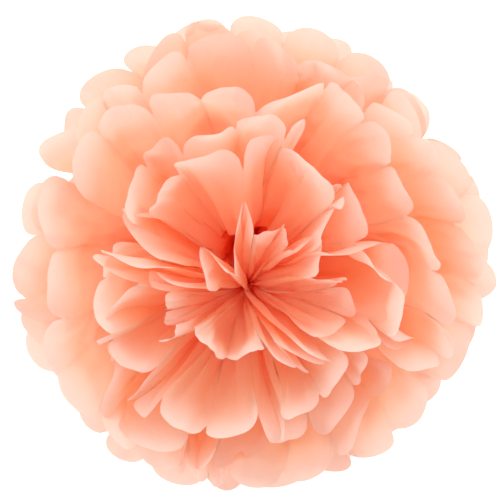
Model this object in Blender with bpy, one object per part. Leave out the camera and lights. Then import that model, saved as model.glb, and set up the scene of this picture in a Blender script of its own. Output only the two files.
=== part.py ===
"""Hanging pom pom of tissue paper, 350 mm across, with +Z along its flower axis.

Twelve sheets of tissue are stacked, folded together like an accordion into one strip along X,
tied round the middle with wire, and trimmed round at both ends. Each end then opens as a fan,
and the sheets are pulled apart one by one: six up towards +Z and six down. The origin is the
middle of the tie, where the hanging thread is fastened.
"""

import math
import random

import bmesh
import bpy
from mathutils import Vector

MM = 0.001

# The cut sheet and its accordion folds
fold_width = 42.3 * MM
panel_count = 12
strip_length = 356 * MM
trim_depth = 15 * MM
paper_thickness = 0.25 * MM
sheet_count = 12

# The gathered neck inside the tie, where every fold line leaves from a small arc
neck_radius = 8 * MM
slit_half_width = 1 * MM
layer_gap = 1.0 * MM
neck_pleat = 0.12 * MM

# The opened fans
fan_spread = math.radians(176)
pole_angle_first = math.radians(5)
pole_angle_last = math.radians(82)
bend_length = 5 * MM
tip_flare = math.radians(16)
neck_row = neck_radius + slit_half_width
sheet_rows = [neck_row, 22 * MM, 50 * MM, 110 * MM]
pleat_growth = 0.3
throat_pleat_growth = 1.2
throat_power = 8
throat_length = 20 * MM
least_pleat = 5 * MM
deepest_pleat = 34 * MM
thickest_fold = 4
lobe_cup = 5 * MM

# How unevenly a hand opens the folds
lean_scatter = math.radians(3)
reach_scatter = 0.025
turn_scatter = 0.08
slit_scatter = math.radians(4)
widest_pair = 0.3
bottom_steadiness = 0.2

# The wire tie
wire_radius = 0.5 * MM
wire_clearance = 0.3 * MM
twist_length = 14 * MM
twist_turns = 2.25
twist_gap = 0.25 * MM
twist_lead = 4 * MM

# Mesh resolution
lobe_segments = 4
path_steps = 24
loop_points = 20
twist_points = 19

tissue_colour = (0.93, 0.40, 0.25, 1.0)
wire_colour = (0.62, 0.62, 0.63, 1.0)


def clear_scene():
    for obj in list(bpy.data.objects):
        bpy.data.objects.remove(obj, do_unlink=True)


def make_collection(name):
    collection = bpy.data.collections.new(name)
    bpy.context.scene.collection.children.link(collection)
    return collection


def make_material(name, colour, roughness, metallic):
    material = bpy.data.materials.new(name)
    material.use_nodes = True
    shader = material.node_tree.nodes["Principled BSDF"]
    shader.inputs["Base Color"].default_value = colour
    shader.inputs["Roughness"].default_value = roughness
    shader.inputs["Metallic"].default_value = metallic
    material.diffuse_color = colour
    return material


def move_to(obj, collection):
    for other in list(obj.users_collection):
        other.objects.unlink(obj)
    collection.objects.link(obj)


def layer_height(index):
    """Height of a sheet where the stack runs through the tie, with the first sheet on top."""
    return ((sheet_count - 1) / 2 - index) * layer_gap


def bundle_half_height():
    return layer_height(0) + neck_pleat + paper_thickness / 2


def elevation(index):
    """Angle of a sheet's petals above the XY plane: steep at the top and bottom of the stack."""
    per_side = sheet_count // 2
    lower = index >= per_side
    step = sheet_count - 1 - index if lower else index
    share = step / max(per_side - 1, 1)
    pole_angle = pole_angle_first + share * (pole_angle_last - pole_angle_first)
    rise = math.pi / 2 - pole_angle
    return -rise if lower else rise


def petal_path(index, distance):
    """How far out and up a fold line has gone at this distance past the neck, and its slope.

    It bends up within a short way of the tie, and its tip flares outwards again.
    """
    full = elevation(index)
    step = distance / path_steps
    out = up = slope = 0.0
    for i in range(path_steps + 1):
        travel = i * step
        before = slope
        slope = full * (1 - math.exp(-travel / bend_length))
        slope -= tip_flare * math.sin(full) * (2 * travel / strip_length) ** 2
        if i:
            out += step * math.cos((before + slope) / 2)
            up += step * math.sin((before + slope) / 2)
    return out, up, slope


def pleat_half_depth(index, out, chord):
    """A panel keeps its width, so the pleats are deep where the fan is narrow.

    All sheets start alike at the tie, where they lie close together. Further out the pleats of
    the steepest ones grow faster, and their inner folds nearly meet and close the throat.
    """
    steepness = abs(math.sin(elevation(index))) ** throat_power
    growth = pleat_growth + throat_pleat_growth * steepness * (1 - math.exp(-out / throat_length))
    depth = min(math.sqrt(max(fold_width**2 - chord**2, least_pleat**2)), deepest_pleat)
    return min(depth / 2, neck_pleat + growth * out)


def panel_shares(index, chance):
    """How much of the fan's rim each panel takes: of every four, two neighbours open together
    into a wide petal. A fan that is nearly stretched flat has no width to spare."""
    out, _, _ = petal_path(index, strip_length / 2 - neck_row)
    even_chord = (out + neck_radius) * fan_spread / panel_count
    spare = min(widest_pair, max(fold_width / even_chord - 1, 0))
    shares = []
    while len(shares) < panel_count:
        first_wide = chance.randrange(3)
        wide = spare * chance.uniform(0.5, 1)
        shares += [1 + wide if step in (first_wide, first_wide + 1) else 1 - wide for step in range(4)]
    return shares


def scatter(index):
    """Uneven lean, reach and turn of every fold line, for the fan on each side.

    Both fans of a sheet turn together at the slit between them, so they never meet there.
    """
    chance = random.Random(index)
    steady = bottom_steadiness if index == sheet_count - 1 else 1.0
    slit_turns = [chance.uniform(-slit_scatter, slit_scatter) for _ in range(2)]
    folds = {}
    for side in (1, -1):
        folds[side] = []
        shares = panel_shares(index, chance)
        for fold in range(panel_count + 1):
            share = fold / panel_count
            lean = steady * chance.uniform(-lean_scatter, lean_scatter)
            reach = steady * chance.uniform(-reach_scatter, reach_scatter)
            turn = sum(shares[:fold]) - fold + chance.uniform(-turn_scatter, turn_scatter)
            turn *= fan_spread / panel_count
            turn += side * (slit_turns[0] + share * (slit_turns[1] - slit_turns[0]))
            folds[side].append((lean, reach, turn))
    return folds


def between(folds, position):
    """The scatter at a place across the sheet, in fold widths."""
    low = min(int(position), panel_count - 1)
    share = position - low
    return [a + share * (b - a) for a, b in zip(folds[low], folds[low + 1])]


def panel_middle(position):
    """0 on a fold, 1 in the middle of a panel."""
    return 1 - abs(2 * (position % 1) - 1)


def panel_chord(folds, panel, share, out):
    """Straight width between the two folds of a panel, where the fan has this radius."""
    panel = min(max(panel, 0), panel_count - 1)
    turned = (folds[panel + 1][2] - folds[panel][2]) * share**2
    return (neck_radius + out) * (fan_spread / panel_count + turned)


def pleat_lift(index, folds, position, share, out):
    """Height of the pleats here: up on a mountain fold, down on a valley fold. The depth at a
    fold is the mean of what its two panels leave."""
    low = min(int(position), panel_count - 1)
    ends = []
    for fold in (low, low + 1):
        chords = [panel_chord(folds, fold + step, share, out) for step in (-1, 0)]
        depth = sum(pleat_half_depth(index, out, chord) for chord in chords) / 2
        ends.append(depth if fold % 2 == 0 else -depth)
    return ends[0] + (position - low) * (ends[1] - ends[0])


def fold_stretch(index, out):
    """How many times the paper's thickness its height is, where the pleats stand steep."""
    chord = (neck_radius + out) * fan_spread / panel_count
    depth = 2 * pleat_half_depth(index, out, chord)
    return min(math.hypot(chord, depth) / chord, thickest_fold)


def folded_place(index, folds, along, across, above):
    """Where a point of the flat sheet lies once the strip is tied and its fans are opened."""
    side = 1 if along > 0 else -1
    position = across / fold_width
    lean, reach, turn = between(folds[side], position)
    past_neck = abs(along) - neck_row
    share = past_neck / (strip_length / 2)
    out, up, slope = petal_path(index, past_neck * (1 + reach))
    radius = neck_radius + out
    angle = fan_spread * (position / panel_count - 0.5) + turn * share**2
    lift = pleat_lift(index, folds[side], position, share, out)
    lift += lean * past_neck * share + lobe_cup * panel_middle(position) * share**3
    lift += above * fold_stretch(index, out)
    radius -= lift * math.sin(slope)
    x = side * (slit_half_width + radius * math.cos(angle))
    y = radius * math.sin(angle)
    z = layer_height(index) + up + lift * math.cos(slope)
    return Vector((x, y, z))


def trim_end(along, across):
    """Each panel's end is cut round, so the sheet's edge is a row of lobes."""
    offset = 2 * ((across / fold_width) % 1) - 1
    cut = trim_depth * (1 - math.sqrt(1 - offset * offset))
    return math.copysign(abs(along) - cut, along)


def flat_rows():
    """Rows of the flat sheet, from one end of the strip to the other."""
    half = sheet_rows + [strip_length / 2]
    return [-distance for distance in reversed(half)] + half


def cut_flat_sheet(mesh):
    """Turns a unit grid into the flat sheet, with a row of lobes at both ends and the paper's
    thickness."""
    rows = flat_rows()
    work = bmesh.new()
    work.from_mesh(mesh)
    for vert in work.verts:
        row = round((vert.co.x + 0.5) * (len(rows) - 1))
        fold = round((vert.co.y + 0.5) * panel_count)
        vert.co = Vector((rows[row], fold * fold_width, 0))
    ends = [edge for edge in work.edges if all(abs(v.co.x) > rows[-2] + MM for v in edge.verts)]
    bmesh.ops.subdivide_edges(work, edges=ends, cuts=lobe_segments - 1)
    for vert in work.verts:
        if abs(vert.co.x) > rows[-2] + MM:
            vert.co.x = trim_end(vert.co.x, vert.co.y)
    bmesh.ops.triangulate(work, faces=work.faces, quad_method="FIXED")
    bmesh.ops.solidify(work, geom=work.faces[:], thickness=paper_thickness)
    middle = sum(vert.co.z for vert in work.verts) / len(work.verts)
    bmesh.ops.translate(work, verts=work.verts, vec=(0, 0, -middle))
    bmesh.ops.triangulate(work, faces=work.faces, quad_method="FIXED")
    return work


def make_sheet(index, collection, material):
    """One sheet of tissue, folded, gathered in the tie and opened into two fans of petals."""
    bpy.ops.mesh.primitive_grid_add(
        x_subdivisions=len(flat_rows()) - 1, y_subdivisions=panel_count, size=1
    )
    sheet = bpy.context.object
    sheet.name = f"tissue_sheet_{index + 1:02d}"
    work = cut_flat_sheet(sheet.data)
    folds = scatter(index)
    for vert in work.verts:
        vert.co = folded_place(index, folds, *vert.co)
    work.to_mesh(sheet.data)
    work.free()
    sheet.data.materials.append(material)
    move_to(sheet, collection)
    return sheet


def twist_place(start, travel, phase):
    """A point of one wire of the twist, this far along its tail."""
    turn = phase + 2 * math.pi * twist_turns * travel / twist_length
    radius = wire_radius + twist_gap
    return Vector((radius * math.cos(turn), start + travel, radius * math.sin(turn)))


def tie_route():
    """The wire comes down its tail, goes once round the bundle and back along the tail."""
    half_y = neck_radius + paper_thickness / 2
    half_z = bundle_half_height()
    reach = wire_clearance + wire_radius
    loop = []
    for i in range(loop_points):
        angle = 2 * math.pi * (i + 0.5) / loop_points
        y = math.copysign(half_y, math.cos(angle)) + reach * math.cos(angle)
        z = math.copysign(half_z, math.sin(angle)) + reach * math.sin(angle)
        loop.append(Vector((0, y, z)))
    start = half_y + reach + twist_lead
    travels = [twist_length * i / (twist_points - 1) for i in range(twist_points)]
    first = [twist_place(start, travel, math.pi / 2) for travel in reversed(travels)]
    last = [twist_place(start, travel, -math.pi / 2) for travel in travels]
    return first + loop + last


def make_tie(collection, material):
    curve = bpy.data.curves.new("wire_tie", "CURVE")
    curve.dimensions = "3D"
    curve.bevel_depth = wire_radius
    curve.bevel_resolution = 2
    curve.use_fill_caps = True
    route = tie_route()
    spline = curve.splines.new("POLY")
    spline.points.add(len(route) - 1)
    for point, place in zip(spline.points, route):
        point.co = (*place, 1)
    curve.materials.append(material)
    tie = bpy.data.objects.new("wire_tie", curve)
    collection.objects.link(tie)
    return tie


def main():
    clear_scene()
    collection = make_collection("tissue_pom_pom")
    tissue = make_material("tissue_paper", tissue_colour, 0.85, 0.0)
    wire = make_material("tie_wire", wire_colour, 0.4, 1.0)
    for index in range(sheet_count):
        make_sheet(index, collection, tissue)
    make_tie(collection, wire)


main()
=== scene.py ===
import math
import random
from types import SimpleNamespace

import bpy
import numpy as np
from mathutils import Matrix, Vector


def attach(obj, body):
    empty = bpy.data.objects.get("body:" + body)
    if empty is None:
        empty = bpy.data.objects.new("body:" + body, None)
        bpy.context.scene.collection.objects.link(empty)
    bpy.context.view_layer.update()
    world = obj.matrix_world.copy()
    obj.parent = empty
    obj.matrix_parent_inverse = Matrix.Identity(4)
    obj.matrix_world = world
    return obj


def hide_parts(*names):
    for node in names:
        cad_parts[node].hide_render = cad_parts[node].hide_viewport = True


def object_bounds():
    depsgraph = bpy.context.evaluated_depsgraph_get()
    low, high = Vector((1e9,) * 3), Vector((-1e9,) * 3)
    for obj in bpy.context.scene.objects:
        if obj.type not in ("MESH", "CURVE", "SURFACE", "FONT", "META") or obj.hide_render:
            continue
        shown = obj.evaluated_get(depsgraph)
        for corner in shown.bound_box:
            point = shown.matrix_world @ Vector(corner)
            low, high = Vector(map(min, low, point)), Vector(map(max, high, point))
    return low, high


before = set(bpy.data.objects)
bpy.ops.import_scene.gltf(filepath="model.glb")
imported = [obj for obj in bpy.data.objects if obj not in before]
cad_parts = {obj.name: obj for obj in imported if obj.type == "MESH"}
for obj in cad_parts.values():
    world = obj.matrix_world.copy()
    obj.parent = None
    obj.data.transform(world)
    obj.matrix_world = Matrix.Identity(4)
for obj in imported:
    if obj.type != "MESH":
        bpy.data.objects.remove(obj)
cad_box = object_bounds()

MM = 0.001

# The cut sheet, the gathered neck inside the tie and the two opened fans, as in the part's source
FOLD_WIDTH = 42.3 * MM
PANELS = 12
FOLDS = PANELS + 1
PETALS = PANELS // 2
STRIP_LENGTH = 356 * MM
HALF_STRIP = STRIP_LENGTH / 2
TRIM_DEPTH = 15 * MM
SHEETS = 12
NECK_RADIUS = 8 * MM
SLIT_HALF_WIDTH = 1 * MM
NECK_ROW = NECK_RADIUS + SLIT_HALF_WIDTH
LAYER_GAP = 1.0 * MM
NECK_PLEAT = 0.12 * MM
FAN_SPREAD = math.radians(176)
POLE_FIRST = math.radians(5)
POLE_LAST = math.radians(82)
BEND_LENGTH = 5 * MM
TIP_FLARE = math.radians(16)
PLEAT_GROWTH = 0.3
THROAT_GROWTH = 1.2
THROAT_POWER = 8
THROAT_LENGTH = 20 * MM
LEAST_PLEAT = 5 * MM
DEEPEST_PLEAT = 34 * MM
LOBE_CUP = 5 * MM
LEAN_SCATTER = math.radians(3)
REACH_SCATTER = 0.025
TURN_SCATTER = 0.08
SLIT_SCATTER = math.radians(4)
BOTTOM_STEADINESS = 0.2

# The flat sheet is a grid this fine. A fold line's path is summed up from this many points, to a
# little past the longest petal.
COLUMNS_PER_PANEL = 20
ROWS_PER_SIDE = 46
PATH_POINTS = 600
LONGEST_REACH = 1.1

# A panel's end is cut nearly as a half ellipse, which takes a fifth of the trim's depth away
END_ROUNDNESS = 2.2

# The seed of each sheet's scatter, chosen for fewer places where neighbouring sheets cross
SHEET_SEEDS = [1, 5, 15, 10, 4, 5, 6, 1, 27, 12, 21, 13]

# A petal is a pair of panels. A hand pulls some wide open and leaves the ones between them shut.
# Widths of the six petals from one end of a fan to the other, by the sheet and the side of the
# fan, for those that show at the top.
PULLED = {
    (0, 1): [2.8, 0.4, 2.4, 1.7, 1.7, 3.0],
    (0, -1): [0.9, 0.9, 7.3, 0.3, 1.8, 0.8],
    (1, 1): [0.6, 3.9, 0.5, 3.3, 3.2, 0.5],
    (1, -1): [3.2, 0.5, 3.4, 0.5, 3.9, 0.5],
    (2, 1): [0.6, 2.9, 2.8, 0.6, 2.6, 2.5],
    (2, -1): [2.7, 2.4, 0.6, 2.8, 0.6, 2.9],
}
# In the other fans this many petals are open, counted from the pole sheets to the middle ones
OPEN_PETALS = (2, 3, 4, 5, 6, 6)
OPEN_PETAL = 3.0
OPEN_PETAL_SCATTER = (0.85, 1.15)
SHUT_PETAL = 0.9
PANEL_SPLIT = (0.44, 0.56)
# How much of that opening each sheet takes, from the pole to the middle, and how it grows outwards
PULLING = (1.0, 0.95, 1.0, 1.0, 1.0, 1.0)
OPENING_POWER = 1.5

# Inner folds that a hand has smoothed flat, so that the petals beside them join into a wide one,
# by the sheet and the side of the fan. In the other fans it is left to chance.
SMOOTHED = {(0, 1): (2, 6), (0, -1): (8, 10), (1, 1): (4, 10), (1, -1): (2, 6), (2, 1): (6,),
            (2, -1): (4, 8)}
SMOOTHED_CHANCE = 0.3
SMOOTHED_DEPTH = 0.1
# How deep the other folds stay, and how far they fall over to one side
FOLD_DEPTH = (0.7, 1.1)
FALL_OVER = (-0.35, 0.35)
# How much of a panel's section is a soft bowl, and how much is rounded at both folds
BOWL = (0.75, 0.9)
ROUND_FOLD = (0.02, 0.1)
# A panel's section is straight at the tie and has its full bowl this many times sooner than the
# rim. The rounding at its folds starts later.
SOFTENING = 2.2
ROUNDING_START = 0.6

# How far fold lines lean in over the throat, from one end of a fan to the other
LEANING = {
    (0, 1): [0.06, 0.02, 0.0, 0.0, 0.04, 0.0, 0.05, 0.02, 0.07, 0.08, 0.08, 0.04, 0.0],
    (0, -1): [0.1, 0.05, 0.06, 0.0, 0.1, 0.06, 0.12, 0.06, 0.0, 0.05, 0.06, 0.05, 0.0],
}
# Those fans keep this share of the scatter that follows
LEANING_SCATTER = 1 / 3
# How unevenly whole petals lean and reach, as shares of their length
PETAL_LEAN = (-0.13, 0.13)
PETAL_REACH = (-0.04, 0.04)
# The petals of the first sheet are crumpled shorter than the rest
TOP_SHORT = 0.06
# Some petals of the sheets that make the rim are crumpled too, and leave gaps in the outline
RIM_SHEETS = range(2, 10)
SHORT_PETALS = 3.2
# The lowest petals carry the ball, so they stand more evenly
BOTTOM_FREEDOM = {10: 0.4, 11: 0.1}
# Azimuths at which the petals were pulled further out, how much, and how wide a stretch that is
DRAWN_OUT = ((math.radians(-62), 0.065), (math.radians(133), 0.065))
DRAWN_OUT_SPREAD = math.radians(17)

# The first sheets close the throat part of the way up, and spread like a cup above it
TOP_FLARE = (math.radians(50), math.radians(30), math.radians(22))
SQUEEZE = (0.75, 0.4, 0.15)
SQUEEZE_HEIGHT = 95 * MM
SQUEEZE_LENGTH = 38 * MM

# The paper near the tie is gathered in ripples. They hold nearly the whole panel, no steeper than
# this on the first sheet and on the others, and they run out before the cut end.
GATHER = 0.98
RIPPLES = 2
RIPPLE_PHASE = (0, 0.6)
STEEPEST_RIPPLE = (2.6, 1.6)
RIPPLE_START = 12 * MM
RIPPLE_END = 50 * MM

# Ends of panels curl up or down, most in the middle, and some were curled up into a cup. These
# are given by sheet, side and panel.
CURL = (-10 * MM, 14 * MM)
CURLED = {(0, -1, 4): 26 * MM, (0, -1, 5): 22 * MM, (0, 1, 8): 14 * MM, (0, 1, 9): 14 * MM}
CURL_LENGTH = 38 * MM
CURL_AT_FOLDS = 0.35
# How much the middle of a panel stands proud of its folds at the rim
PROUD = (-3 * MM, 9 * MM)

# Powers of the distance from the tie by which these grow, to their full size at the rim
SLACK_POWER = 1.5
PROUD_POWER = 2.5
LOBE_POWER = 3
# These have their full size this many times sooner than the rim
FALLING = 2
WRINKLING = 1.5
CREASING = 2

# Wrinkles in the opened paper: their length, how many waves make them, and their height
BROAD_WRINKLES = (70 * MM, 5, 2.4 * MM)
SMALL_WRINKLES = (24 * MM, 7, 0.9 * MM)
# Creases that run out along the folds, drawn this much longer than they are wide
CREASES = (13 * MM, 7, 0.45 * MM)
CREASE_STRETCH = 5
# Fold lines wander sideways, by this angle seen from the tie
WANDER = (60 * MM, 5, math.radians(1.2))
WAVE_SCATTER = (0.7, 1.4)

# The camera looks down on the flower, with this azimuth at the top of the picture
PICTURE_UP = math.radians(28)
CAMERA_TILT = math.radians(12)
CAMERA_DISTANCE = 1.075
CENTRING = (2 * MM, 5.5 * MM)
LENS_MM = 100
SENSOR_MM = 36

# Light has to pass through many layers of tissue before it dies away
LIGHT_BOUNCES = 64


def rgb(hex_code):
    """A linear colour from an sRGB hex code."""
    parts = [int(hex_code[i : i + 2], 16) / 255 for i in (1, 3, 5)]
    linear = [c / 12.92 if c <= 0.04045 else ((c + 0.055) / 1.055) ** 2.4 for c in parts]
    return (*linear, 1.0)


def add_node(tree, kind, settings, sockets):
    """Adds a node with its settings. A socket, by its name or number, takes a value, or a link
    where it is given another node's output."""
    node = tree.nodes.new(kind)
    for name, value in settings.items():
        setattr(node, name, value)
    for name, value in sockets.items():
        if isinstance(value, bpy.types.NodeSocket):
            tree.links.new(value, node.inputs[name])
        else:
            node.inputs[name].default_value = value
    return node


def new_material(name):
    material = bpy.data.materials.new(name)
    material.use_nodes = True
    material.node_tree.nodes.clear()
    return material


# Materials


def tissue_paper():
    """Dyed tissue: unglazed paper, so thin that two thirds of the light goes through it. The dye
    takes almost no red away, so light that has met many layers glows orange in the depths, while
    the rim stays pale. Patterns follow the flat sheet, in metres, by its UV map."""
    material = new_material("dyed_tissue_paper")
    tree = material.node_tree
    uv = add_node(tree, "ShaderNodeUVMap", {"uv_map": "flat"}, {}).outputs["UV"]

    # Dye takes unevenly in clouds about as wide as a finger
    cloud = add_node(tree, "ShaderNodeTexNoise", {"noise_dimensions": "2D"},
                     {"Vector": uv, "Scale": 1 / (16.7 * MM), "Detail": 5.0, "Roughness": 0.6})
    # Fibres are about 0.03 mm wide and 1 to 3 mm long. They are drawn 0.9 mm wide, to show.
    along_grain = add_node(tree, "ShaderNodeMapping", {}, {"Vector": uv, "Scale": (1.0, 0.35, 1.0)})
    fibre = add_node(tree, "ShaderNodeTexNoise", {"noise_dimensions": "2D"},
                     {"Vector": along_grain.outputs["Vector"], "Scale": 1 / (0.91 * MM),
                      "Detail": 3.0, "Roughness": 0.7})
    # A Mix node's sockets go by number: 0 the share, 2 and 3 the numbers, 6 and 7 the colours
    shade = add_node(tree, "ShaderNodeMix", {"data_type": "FLOAT"},
                     {0: 0.35, 2: cloud.outputs["Fac"], 3: fibre.outputs["Fac"]})
    dye = add_node(tree, "ShaderNodeValToRGB", {}, {"Fac": shade.outputs[0]})
    deep, light = dye.color_ramp.elements
    deep.position = 0.3
    deep.color = rgb("#ffd0ac")
    light.position = 0.7
    light.color = rgb("#ffd8b8")

    # Petal ends stand apart from the layers below and let light through; the last 36 mm are painted
    # paler as painted light
    across = add_node(tree, "ShaderNodeSeparateXYZ", {}, {"Vector": uv})
    from_tie = add_node(tree, "ShaderNodeMath", {"operation": "SUBTRACT"},
                        {0: across.outputs["Y"], 1: HALF_STRIP})
    reach = add_node(tree, "ShaderNodeMath", {"operation": "ABSOLUTE"}, {0: from_tie.outputs[0]})
    painted_pale_ends = add_node(tree, "ShaderNodeMapRange", {"interpolation_type": "SMOOTHSTEP"},
                    {"Value": reach.outputs[0], "From Min": HALF_STRIP - 36 * MM,
                     "From Max": HALF_STRIP - 2 * MM})
    colour = add_node(tree, "ShaderNodeMix", {"data_type": "RGBA"},
                      {0: painted_pale_ends.outputs["Result"], 6: dye.outputs["Color"], 7: rgb("#ffe4d6")})
    colour = colour.outputs[2]

    # Handling leaves a fine crinkle, about 6 mm from crest to crest and under 1 mm deep
    crinkle = add_node(tree, "ShaderNodeTexNoise", {"noise_dimensions": "2D"},
                       {"Vector": uv, "Scale": 1 / (5.9 * MM), "Detail": 4.0, "Roughness": 0.55})
    normal = add_node(tree, "ShaderNodeBump", {},
                      {"Height": crinkle.outputs["Fac"], "Strength": 0.35, "Distance": 0.8 * MM})
    normal = normal.outputs["Normal"]

    surface = add_node(tree, "ShaderNodeBsdfPrincipled", {},
                       {"Base Color": colour, "Normal": normal, "Roughness": 0.85,
                        "Specular IOR Level": 0.0})
    through = add_node(tree, "ShaderNodeBsdfTranslucent", {}, {"Color": colour, "Normal": normal})
    paper = add_node(tree, "ShaderNodeMixShader", {},
                     {"Fac": 0.65, 1: surface.outputs[0], 2: through.outputs[0]})
    add_node(tree, "ShaderNodeOutputMaterial", {}, {"Surface": paper.outputs[0]})
    return material


def drawn_wire():
    """Plain steel tying wire, pulled through a die, so it is bright with fine drawing marks.
    Real marks are some hundredths of a millimetre apart, and are drawn 0.4 mm apart, to show."""
    material = new_material("drawn_steel_wire")
    tree = material.node_tree
    place = add_node(tree, "ShaderNodeTexCoord", {}, {})
    marks = add_node(tree, "ShaderNodeTexNoise", {},
                     {"Vector": place.outputs["Object"], "Scale": 1 / (0.4 * MM), "Detail": 2.0})
    rough = add_node(tree, "ShaderNodeMapRange", {},
                     {"Value": marks.outputs["Fac"], "To Min": 0.28, "To Max": 0.45})
    steel = add_node(tree, "ShaderNodeBsdfPrincipled", {},
                     {"Roughness": rough.outputs["Result"], "Base Color": rgb("#cfcfd1"),
                      "Metallic": 1.0})
    add_node(tree, "ShaderNodeOutputMaterial", {}, {"Surface": steel.outputs[0]})
    return material


def in_sight(tree):
    """1 where the camera sees the surface, directly, in a mirror or through glass, and 0 elsewhere."""
    sight = add_node(tree, "ShaderNodeLightPath", {}, {})
    mirrored = add_node(tree, "ShaderNodeMath", {"operation": "MAXIMUM"},
                        {0: sight.outputs["Is Camera Ray"], 1: sight.outputs["Is Glossy Ray"]})
    either = add_node(tree, "ShaderNodeMath", {"operation": "MAXIMUM"},
                      {0: mirrored.outputs[0], 1: sight.outputs["Is Transmission Ray"]})
    return either.outputs[0]


def studio_white():
    """White paint that keeps the soft shadow. A glow makes up what it lacks of white to the eye."""
    material = new_material("white_studio_floor")
    tree = material.node_tree
    strength = add_node(tree, "ShaderNodeMath", {"operation": "MULTIPLY"}, {0: in_sight(tree), 1: 0.6})
    paint = add_node(tree, "ShaderNodeBsdfPrincipled", {},
                     {"Base Color": rgb("#f4f4f4"), "Roughness": 0.9})
    glow = add_node(tree, "ShaderNodeEmission", {},
                    {"Strength": strength.outputs[0], "Color": rgb("#ffffff")})
    both = add_node(tree, "ShaderNodeAddShader", {}, {0: paint.outputs[0], 1: glow.outputs[0]})
    add_node(tree, "ShaderNodeOutputMaterial", {}, {"Surface": both.outputs[0]})
    return material


# How a hand opens the folds


def draws(chance, limits, count):
    """As many random numbers between these limits."""
    return np.array([chance.uniform(*limits) for _ in range(count)])


def from_pole(index):
    """How many sheets lie between this one and the pole that it opens to."""
    return min(index, SHEETS - 1 - index)


def layer_height(index):
    return ((SHEETS - 1) / 2 - index) * LAYER_GAP


def elevation(index):
    """Angle of a sheet's petals above the XY plane, as in the part's source."""
    turned = from_pole(index) / (SHEETS // 2 - 1) * (POLE_LAST - POLE_FIRST)
    rise = math.pi / 2 - POLE_FIRST - turned
    return rise if index < SHEETS // 2 else -rise


def panel_widths(index, side, chance):
    """Widths of a fan's panels at the rim, where an even panel is 1."""
    petals = PULLED.get((index, side))
    if petals is None:
        opened = [petal < OPEN_PETALS[from_pole(index)] for petal in range(PETALS)]
        chance.shuffle(opened)
        petals = [OPEN_PETAL * chance.uniform(*OPEN_PETAL_SCATTER) if one else SHUT_PETAL
                  for one in opened]
    widths = []
    for petal in petals:
        split = chance.uniform(*PANEL_SPLIT)
        widths += [petal * split, petal * (1 - split)]
    widths = np.array(widths) * PANELS / sum(widths)
    return 1 + (widths - 1) * PULLING[from_pole(index)]


def scatter(index):
    """Uneven lean, reach and turn of every fold line. The turn opens and shuts the petals."""
    chance = random.Random(SHEET_SEEDS[index])
    steady = BOTTOM_STEADINESS if index == SHEETS - 1 else 1.0
    slit_turns = [chance.uniform(-SLIT_SCATTER, SLIT_SCATTER) for _ in range(2)]
    folds = {}
    for side in (1, -1):
        rows = []
        widths = panel_widths(index, side, chance)
        for fold in range(FOLDS):
            share = fold / PANELS
            lean = steady * chance.uniform(-LEAN_SCATTER, LEAN_SCATTER)
            reach = steady * chance.uniform(-REACH_SCATTER, REACH_SCATTER)
            beside = min(widths[max(fold - 1, 0)], widths[min(fold, PANELS - 1)], 1)
            turn = sum(widths[:fold]) - fold + beside * chance.uniform(-TURN_SCATTER, TURN_SCATTER)
            turn *= FAN_SPREAD / PANELS
            turn += side * (slit_turns[0] + share * (slit_turns[1] - slit_turns[0]))
            rows.append((lean, reach, turn))
        folds[side] = np.array(rows)
    return folds


def hand_marks(index, side, chance):
    """How the hand left every panel, fold and petal of a fan."""
    marks = SimpleNamespace()
    marks.bowl = draws(chance, BOWL, PANELS)
    marks.round_fold = draws(chance, ROUND_FOLD, PANELS)
    marks.fold_depth = draws(chance, FOLD_DEPTH, FOLDS)
    smoothed = SMOOTHED.get((index, side))
    if smoothed is None:
        smoothed = [fold for fold in range(2, PANELS, 2) if chance.random() < SMOOTHED_CHANCE]
    for fold in smoothed:
        marks.fold_depth[fold] = SMOOTHED_DEPTH
    marks.fall_over = draws(chance, FALL_OVER, FOLDS)
    marks.ripple_phase = draws(chance, RIPPLE_PHASE, FOLDS)
    marks.curl = draws(chance, CURL, PANELS)
    for panel in range(PANELS):
        marks.curl[panel] = CURLED.get((index, side, panel), marks.curl[panel])
    marks.proud = draws(chance, PROUD, PANELS)
    # The two folds beside a petal lean and reach together
    marks.lean = np.repeat(draws(chance, PETAL_LEAN, PETALS + 1), 2)[:FOLDS]
    marks.reach = np.repeat(draws(chance, PETAL_REACH, PETALS + 1), 2)[:FOLDS]
    if index in RIM_SHEETS:
        marks.reach = np.where(marks.reach < 0, SHORT_PETALS * marks.reach, marks.reach)
    freedom = BOTTOM_FREEDOM.get(index, 1)
    marks.lean *= freedom
    marks.reach *= freedom
    if (index, side) in LEANING:
        marks.lean = marks.lean * LEANING_SCATTER + np.array(LEANING[index, side])
    return marks


# The shape of the folded paper


def soft_between(values, position):
    """Eases from the value at one fold to the value at the next."""
    low = np.minimum(position.astype(int), PANELS - 1)
    share = position - low
    ease = share * share * (3 - 2 * share)
    return values[low] + ease * (values[low + 1] - values[low])


def wrinkles(chance, places, kind):
    """A smooth random field over places, built from a few plane waves."""
    size, waves, height = kind
    total = np.zeros(len(places))
    for _ in range(waves):
        direction = np.array([chance.gauss(0, 1) for _ in range(places.shape[1])])
        direction *= 2 * math.pi / (size * chance.uniform(*WAVE_SCATTER) * np.linalg.norm(direction))
        total += np.sin(places @ direction + chance.uniform(0, 2 * math.pi))
    return height * total / math.sqrt(waves / 2)


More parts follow.
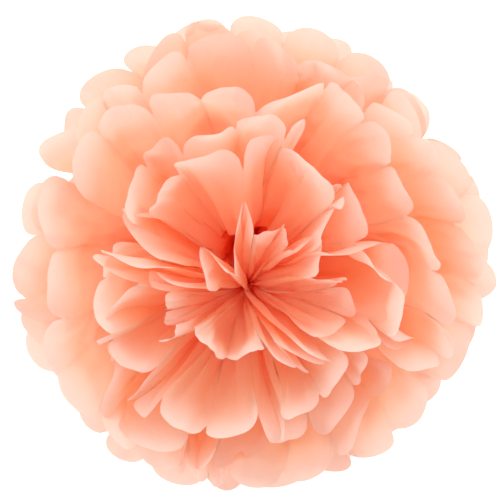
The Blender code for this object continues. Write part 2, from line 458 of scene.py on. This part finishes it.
def petal_path(index, distances):
    """Out, up and slope of a fold line at each distance past the neck."""
    full = elevation(index)
    fine = np.linspace(0, HALF_STRIP * LONGEST_REACH, PATH_POINTS)
    slope = full * (1 - np.exp(-fine / BEND_LENGTH))
    flare = TOP_FLARE[index] if index < len(TOP_FLARE) else TIP_FLARE
    slope -= flare * math.sin(full) * (fine / HALF_STRIP) ** 2
    step = fine[1] - fine[0]
    out = np.concatenate([[0], np.cumsum((np.cos(slope[1:]) + np.cos(slope[:-1])) / 2 * step)])
    up = np.concatenate([[0], np.cumsum((np.sin(slope[1:]) + np.sin(slope[:-1])) / 2 * step)])
    return (np.interp(distances, fine, out), np.interp(distances, fine, up),
            np.interp(distances, fine, slope))


def drawn_out(index, side, position):
    """How much further the petals reach where they were pulled out, most in the rim's sheets."""
    azimuth = FAN_SPREAD * (position / PANELS - 0.5)
    azimuth = azimuth if side > 0 else math.pi - azimuth
    further = np.zeros(len(position))
    for middle, amount in DRAWN_OUT:
        away = np.abs((azimuth - middle + math.pi) % (2 * math.pi) - math.pi)
        further += amount * np.exp(-((away / DRAWN_OUT_SPREAD) ** 2))
    return further * math.cos(elevation(index)) ** 2


def half_depth(index, out, chord):
    """Half the height between a fold and the next, as in the part's source."""
    steep = abs(math.sin(elevation(index))) ** THROAT_POWER
    growth = PLEAT_GROWTH + THROAT_GROWTH * steep * (1 - np.exp(-out / THROAT_LENGTH))
    depth = np.sqrt(np.maximum(FOLD_WIDTH**2 - chord**2, LEAST_PLEAT**2))
    return np.minimum(np.minimum(depth, DEEPEST_PLEAT) / 2, NECK_PLEAT + growth * out)


def bowl_section(from_inner, bowl, round_fold):
    """Share of a fold's height at a place across a panel, from its sharp inner fold at 0 to its
    soft outer one at 1, so that the two panels of a petal make one bowl."""
    straight = (1 - bowl - round_fold) * from_inner
    rounded = round_fold * (1 - np.cos(math.pi * from_inner)) / 2
    return straight + bowl * np.sin(math.pi / 2 * from_inner) + rounded


def gathers(index, waves, width, past_neck, end):
    """Height of the ripples that take up the paper for which a panel has no room near the tie."""
    steepest = STEEPEST_RIPPLE[min(index, 1)]
    steepness = np.sqrt(np.clip((GATHER * FOLD_WIDTH / width) ** 2 - 1, 0, steepest**2))
    height = steepness * width * math.sqrt(2) / (2 * math.pi * RIPPLES)
    height *= np.clip(past_neck / RIPPLE_START, 0, 1) * np.clip((end - past_neck) / RIPPLE_END, 0, 1)
    return height * np.sin(2 * math.pi * waves)


def petal_shape(index, side, folds, position, past_neck, end):
    """Where points of the flat sheet lie. position is across the folds in fold widths, past_neck
    the distance past the tie, and end the distance at which the sheet is trimmed there."""
    chance = random.Random(100 * index + (1 if side > 0 else 2))
    marks = hand_marks(index, side, chance)
    share = past_neck / HALF_STRIP
    low = np.minimum(position.astype(int), PANELS - 1)
    across = position - low
    lean = soft_between(folds[:, 0] + marks.lean, position)
    reach = soft_between(folds[:, 1] + marks.reach, position) + drawn_out(index, side, position)
    reach -= TOP_SHORT if index == 0 else 0
    out, up, slope = petal_path(index, past_neck * (1 + reach))
    squeeze = SQUEEZE[index] if index < len(SQUEEZE) else 0
    closing = 1 - squeeze * np.exp(-(((past_neck - SQUEEZE_HEIGHT) / SQUEEZE_LENGTH) ** 2))

    # Azimuths of the four folds around each point, widths of the three panels and their depths
    azimuth = []
    for step in (-1, 0, 1, 2):
        fold = np.clip(low + step, 0, PANELS)
        azimuth.append(FAN_SPREAD * (fold / PANELS - 0.5) + folds[fold, 2] * share**OPENING_POWER)
    radius = (out + NECK_RADIUS) * closing
    chord = [radius * (azimuth[i + 1] - azimuth[i]) for i in range(3)]
    chord[0] = np.where(low == 0, chord[1], chord[0])
    chord[2] = np.where(low == PANELS - 1, chord[1], chord[2])
    depth = [half_depth(index, out, width) * closing for width in chord]
    slack = share**SLACK_POWER
    near = (depth[0] + depth[1]) / 2 * (1 + (marks.fold_depth[low] - 1) * slack)
    far = (depth[1] + depth[2]) / 2 * (1 + (marks.fold_depth[low + 1] - 1) * slack)

    inner_first = low % 2 == 0
    from_inner = np.where(inner_first, across, 1 - across)
    bowl = marks.bowl[low] * np.clip(share * SOFTENING, 0, 1)
    round_fold = marks.round_fold[low] * np.clip(share * SOFTENING - ROUNDING_START, 0, 1)
    inner = np.where(inner_first, near, far)
    lift = inner - (near + far) * bowl_section(from_inner, bowl, round_fold)

    width = np.hypot(chord[1], near + far)
    waves = RIPPLES * from_inner + soft_between(marks.ripple_phase, position)
    ripple = gathers(index, waves, width, past_neck, end)
    lift += ripple * chord[1] / width
    fallen = soft_between(marks.fall_over, position) * np.clip(share * FALLING, 0, 1) * lift
    aside = ripple * (near + far) / width + fallen
    angle = azimuth[1] + (azimuth[2] - azimuth[1]) * across + aside / radius

    # Leaning, curling and wrinkles grow towards the rim
    middle = np.sin(math.pi * across)
    at_tip = np.clip(1 - (end - past_neck) / CURL_LENGTH, 0, 1) ** 2
    lift += lean * past_neck * share
    lift += middle * marks.proud[low] * share**PROUD_POWER
    lift += marks.curl[low] * (CURL_AT_FOLDS + (1 - CURL_AT_FOLDS) * middle) * at_tip
    lift += LOBE_CUP * middle * share**LOBE_POWER
    flat = np.stack([position * FOLD_WIDTH, past_neck * side], 1)
    lift += wrinkles(chance, flat, BROAD_WRINKLES) * slack
    lift += wrinkles(chance, flat, SMALL_WRINKLES) * np.clip(share * WRINKLING, 0, 1)
    along = flat / (1, CREASE_STRETCH)
    lift += wrinkles(chance, along, CREASES) * np.clip(share * CREASING, 0, 1)
    angle += wrinkles(chance, flat, WANDER) * share

    out = radius - lift * np.sin(slope)
    x = side * (SLIT_HALF_WIDTH + out * np.cos(angle))
    y = out * np.sin(angle)
    z = layer_height(index) + up + lift * np.cos(slope)
    # The lowest tips are flat on what the ball rests on
    return np.stack([x, y, np.maximum(z, cad_box[0][2])], 1)


def trimmed_length(position):
    """Distance past the neck at which the rounded end of each panel is cut."""
    offset = np.abs(2 * (position % 1) - 1)
    cut = TRIM_DEPTH * (1 - np.sqrt(np.maximum(1 - offset**END_ROUNDNESS, 0)))
    return HALF_STRIP - NECK_ROW - cut


def open_sheet(index, material):
    """One sheet of tissue: a flat grid that is folded, gathered and opened into petals."""
    columns = PANELS * COLUMNS_PER_PANEL
    rows = 2 * ROWS_PER_SIDE + 1
    bpy.ops.object.select_all(action="DESELECT")
    bpy.ops.mesh.primitive_grid_add(x_subdivisions=rows, y_subdivisions=columns, size=1)
    sheet = bpy.context.object
    sheet.name = f"petal_sheet_{index + 1:02d}"
    mesh = sheet.data
    grid = np.empty(len(mesh.vertices) * 3)
    mesh.vertices.foreach_get("co", grid)
    grid = grid.reshape(-1, 3)

    # The grid's middle row of faces lies inside the tie, and its halves open to both sides
    row = np.rint((grid[:, 0] + 0.5) * rows).astype(int)
    position = np.rint((grid[:, 1] + 0.5) * columns) / COLUMNS_PER_PANEL
    side = np.where(row > ROWS_PER_SIDE, 1, -1)
    step = np.where(side > 0, row - ROWS_PER_SIDE - 1, ROWS_PER_SIDE - row) / ROWS_PER_SIDE
    end = trimmed_length(position)
    past_neck = step * end
    folds = scatter(index)
    places = np.empty_like(grid)
    for way in (1, -1):
        mine = side == way
        places[mine] = petal_shape(index, way, folds[way], position[mine], past_neck[mine], end[mine])
    mesh.vertices.foreach_set("co", places.ravel())

    # The UV map is the flat sheet in metres
    layer = mesh.uv_layers.active
    layer.name = "flat"
    corner = np.empty(len(mesh.loops), dtype=np.int32)
    mesh.loops.foreach_get("vertex_index", corner)
    flat = np.stack([position * FOLD_WIDTH, side * (past_neck + NECK_ROW) + HALF_STRIP], 1)
    layer.uv.foreach_set("vector", flat[corner].astype(np.float32).ravel())
    mesh.update()
    bpy.ops.object.shade_smooth()
    mesh.materials.append(material)
    return sheet


# The pom pom

tissue = tissue_paper()
for number in range(SHEETS):
    petals = open_sheet(number, tissue)
    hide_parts(f"tissue_sheet_{number + 1:02d}")
    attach(petals, "root")

wire = drawn_wire()
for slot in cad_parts["wire_tie"].material_slots:
    slot.material = wire


# Floor, light and camera


def around(azimuth, height, distance):
    """A place at this azimuth and elevation from the ball's middle."""
    level = math.cos(height)
    return Vector((math.cos(azimuth) * level, math.sin(azimuth) * level, math.sin(height))) * distance


def white_floor():
    bpy.ops.object.select_all(action="DESELECT")
    bpy.ops.mesh.primitive_plane_add(size=12, location=(0, 0, cad_box[0][2]))
    floor = bpy.context.object
    floor.name = "studio_floor"
    floor.data.materials.append(studio_white())


def softbox(name, place, size, watts, colour):
    """A round soft lamp that faces the ball."""
    data = bpy.data.lights.new(name, "AREA")
    data.shape = "DISK"
    data.size = size
    data.energy = watts
    data.color = rgb(colour)[:3]
    lamp = bpy.data.objects.new(name, data)
    bpy.context.scene.collection.objects.link(lamp)
    lamp.location = place
    lamp.rotation_euler = place.to_track_quat("Z", "Y").to_euler()


def studio_room():
    """Soft light from all round, nearly three times as strong from the picture's top as from its
    bottom, and plain white where the camera sees it."""
    world = bpy.data.worlds.new("studio_world")
    world.use_nodes = True
    bpy.context.scene.world = world
    tree = world.node_tree
    tree.nodes.clear()
    way = add_node(tree, "ShaderNodeTexCoord", {}, {})
    brightest = around(PICTURE_UP, math.radians(15), 1)
    towards = add_node(tree, "ShaderNodeVectorMath", {"operation": "DOT_PRODUCT"},
                       {0: way.outputs["Generated"], 1: brightest})
    strength = add_node(tree, "ShaderNodeMapRange", {},
                        {"Value": towards.outputs["Value"], "From Min": -1.0, "To Min": 0.36,
                         "To Max": 1.02})
    ambient = add_node(tree, "ShaderNodeBackground", {},
                       {"Strength": strength.outputs["Result"], "Color": rgb("#ffffff")})
    white = add_node(tree, "ShaderNodeBackground", {}, {"Strength": 1.0, "Color": rgb("#ffffff")})
    seen = add_node(tree, "ShaderNodeMixShader", {},
                    {"Fac": in_sight(tree), 1: ambient.outputs[0], 2: white.outputs[0]})
    add_node(tree, "ShaderNodeOutputWorld", {}, {"Surface": seen.outputs[0]})


def photo_camera():
    """A long lens that looks down on the flower, a little from the picture's upper side."""
    above = Vector((0, 0, 1))
    level_up = Vector((math.cos(PICTURE_UP), math.sin(PICTURE_UP), 0))
    back = level_up * math.sin(CAMERA_TILT) + above * math.cos(CAMERA_TILT)
    upright = level_up * math.cos(CAMERA_TILT) - above * math.sin(CAMERA_TILT)
    right = upright.cross(back)
    data = bpy.data.cameras.new("photo_camera")
    data.lens = LENS_MM
    data.sensor_width = SENSOR_MM
    camera = bpy.data.objects.new("photo_camera", data)
    bpy.context.scene.collection.objects.link(camera)
    centre = right * CENTRING[0] + upright * CENTRING[1]
    turned = Matrix((right, upright, back)).transposed().to_4x4()
    camera.matrix_world = Matrix.Translation(centre + back * CAMERA_DISTANCE) @ turned
    bpy.context.scene.camera = camera


white_floor()
softbox("key_softbox", around(PICTURE_UP, math.radians(35), 2.2), size=2.0, watts=13,
        colour="#fffefd")
softbox("fill_softbox", around(PICTURE_UP + math.radians(120), math.radians(50), 2.6), size=1.8,
        watts=6, colour="#fdfeff")
studio_room()
photo_camera()
bpy.context.scene.view_settings.view_transform = "Standard"
cycles = bpy.context.scene.cycles
cycles.max_bounces = LIGHT_BOUNCES
cycles.diffuse_bounces = LIGHT_BOUNCES
cycles.transmission_bounces = LIGHT_BOUNCES

bpy.context.view_layer.update()
